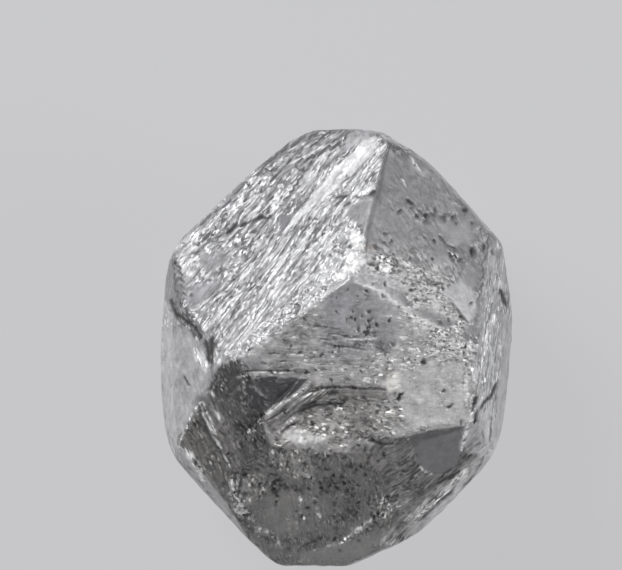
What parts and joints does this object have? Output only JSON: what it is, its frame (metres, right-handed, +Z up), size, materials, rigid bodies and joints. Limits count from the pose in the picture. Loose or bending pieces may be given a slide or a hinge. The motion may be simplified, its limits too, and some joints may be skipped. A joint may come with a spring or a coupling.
{
  "type": "rough diamond",
  "caption": "Grey rough diamond crystal with a rounded dodecahedral form, striated facets, dark specks and a shell fracture, lying on its back face.",
  "frame": {"origin": "on the ground under the middle of the stone's outline, in the plane of its rest face", "axes": "+X to the crystal's right, +Y from its tip to its crown, +Z up, out of the side that the picture shows"},
  "size_m": [0.0066, 0.0082, 0.0058],
  "materials": {
    "grey_diamond": "silvery adamantine lustre on striated, etched facets, grey and translucent, with black specks"
  },
  "bodies": {
    "root": {"rough_diamond": "grey_diamond"}
  },
  "joints": []
}
